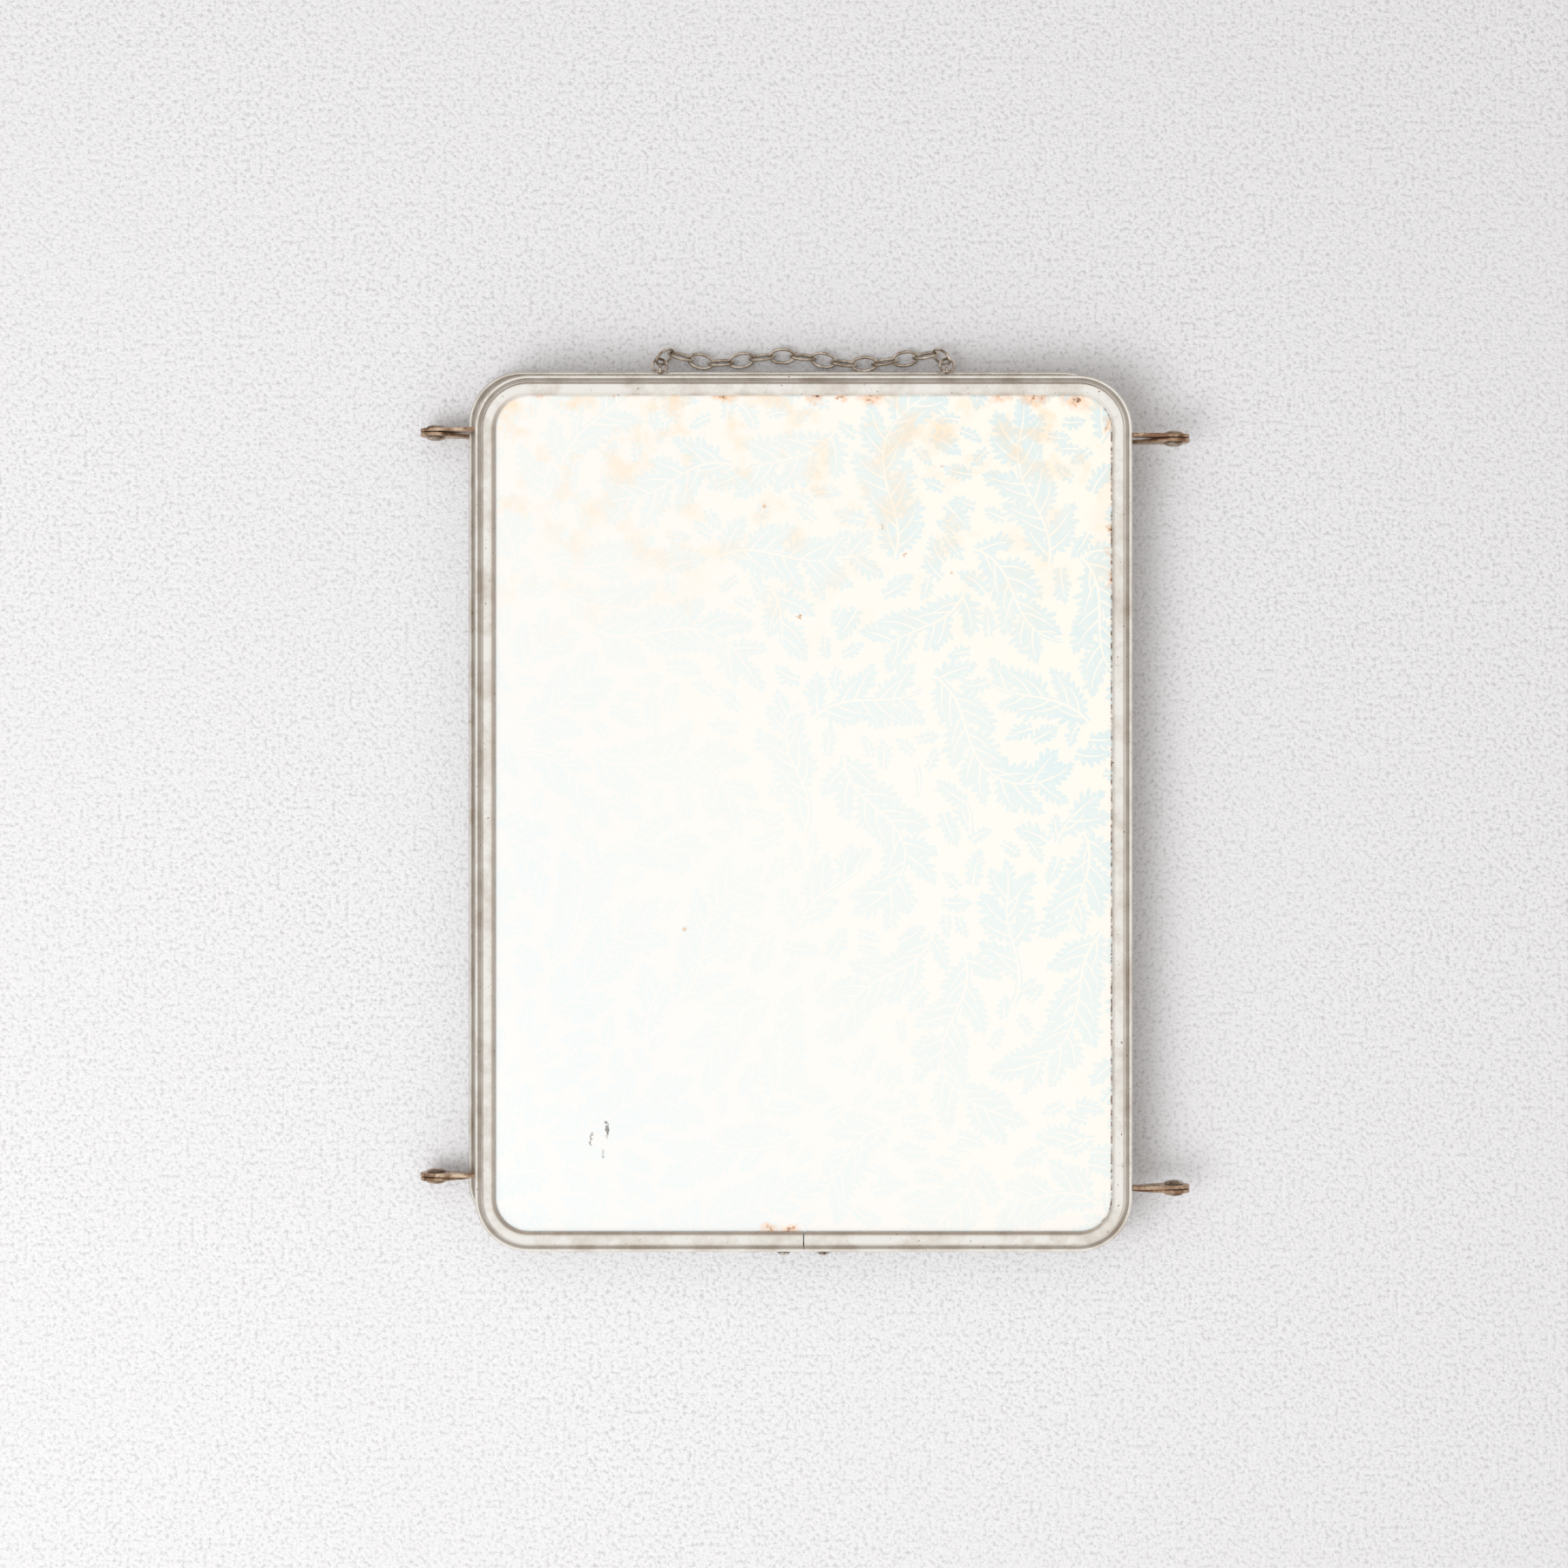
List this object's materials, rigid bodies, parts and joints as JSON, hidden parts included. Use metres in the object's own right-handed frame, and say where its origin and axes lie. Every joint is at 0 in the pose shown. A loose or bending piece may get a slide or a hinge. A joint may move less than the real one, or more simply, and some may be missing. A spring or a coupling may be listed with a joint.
{
  "type": "folding vanity mirror",
  "caption": "Folding vanity mirror: metal-framed leaves with rounded corners and printed tin backs, on riveted arm hinges at the sides, with a hanging chain at the top.",
  "frame": {"origin": "the middle of the folded object's box, on the surface it lies on", "axes": "+X to the right as the object lies, towards the front wing's hinges; +Y up the leaves, towards the hanging chain; +Z away from the surface, through the stacked leaves"},
  "size_m": [0.2658, 0.3139, 0.0282],
  "materials": {
    "frame_moulding": "worn nickel plate on rolled brass, satin with bright rubbed crowns",
    "joining_plate": "plain brass strip",
    "screws": "plated steel, tarnished",
    "mirror_glass": "silvered glass with light age spots near its edges",
    "backing_board": "grey board",
    "printed_tin": "cream lithographed tin with faded aqua foliage, foxed and rust-spotted at its edges",
    "hinge_brass": "tarnished coppery brass with dark patches",
    "rivets": "tarnished brass, worn on the domes",
    "chain": "tarnished nickel wire"
  },
  "bodies": {
    "centre_leaf": {"centre_frame": "frame_moulding", "centre_joining_plate": "joining_plate", "centre_seam_screw_left": "screws", "centre_seam_screw_right": "screws", "centre_mirror_glass": "mirror_glass", "centre_backing_board": "backing_board", "centre_back_panel": "printed_tin", "centre_arm_left_lower": "hinge_brass", "centre_arm_left_upper": "hinge_brass", "centre_arm_right_lower": "hinge_brass", "centre_arm_right_upper": "hinge_brass", "pivot_rivet_left_lower": "rivets", "pivot_rivet_left_upper": "rivets", "pivot_rivet_right_lower": "rivets", "pivot_rivet_right_upper": "rivets", "chain_eyelet_left": "chain", "chain_eyelet_right": "chain"},
    "left_wing": {"left_frame": "frame_moulding", "left_joining_plate": "joining_plate", "left_seam_screw_left": "screws", "left_seam_screw_right": "screws", "left_mirror_glass": "mirror_glass", "left_backing_board": "backing_board", "left_back_panel": "printed_tin", "left_arm_left_lower": "hinge_brass", "left_arm_left_upper": "hinge_brass"},
    "right_wing": {"right_frame": "frame_moulding", "right_joining_plate": "joining_plate", "right_seam_screw_left": "screws", "right_seam_screw_right": "screws", "right_mirror_glass": "mirror_glass", "right_backing_board": "backing_board", "right_back_panel": "printed_tin", "right_arm_right_lower": "hinge_brass", "right_arm_right_upper": "hinge_brass"},
    "hanging_chain": {"chain_link_01": "chain", "chain_link_02": "chain", "chain_link_03": "chain", "chain_link_04": "chain", "chain_link_05": "chain", "chain_link_06": "chain", "chain_link_07": "chain", "chain_link_08": "chain", "chain_link_09": "chain", "chain_link_10": "chain", "chain_link_11": "chain", "chain_link_12": "chain", "chain_link_13": "chain", "chain_link_14": "chain", "chain_link_15": "chain", "chain_link_16": "chain", "chain_link_17": "chain"}
  },
  "joints": [
    {"name": "right_wing_hinge", "type": "hinge", "parent": "centre_leaf", "child": "right_wing", "pos_m": [0.1275, -0.0056, 0.0189], "axis": [0, 1, 0], "range_deg": [0, 180]},
    {"name": "left_wing_hinge", "type": "hinge", "parent": "centre_leaf", "child": "left_wing", "pos_m": [-0.1275, -0.0056, 0.0093], "axis": [0, 1, 0], "range_deg": [0, 240]},
    {"name": "chain_swing", "type": "hinge", "parent": "centre_leaf", "child": "hanging_chain", "pos_m": [0, 0.14715, 0.0141], "axis": [1, 0, 0], "range_deg": [0, 90]}
  ]
}
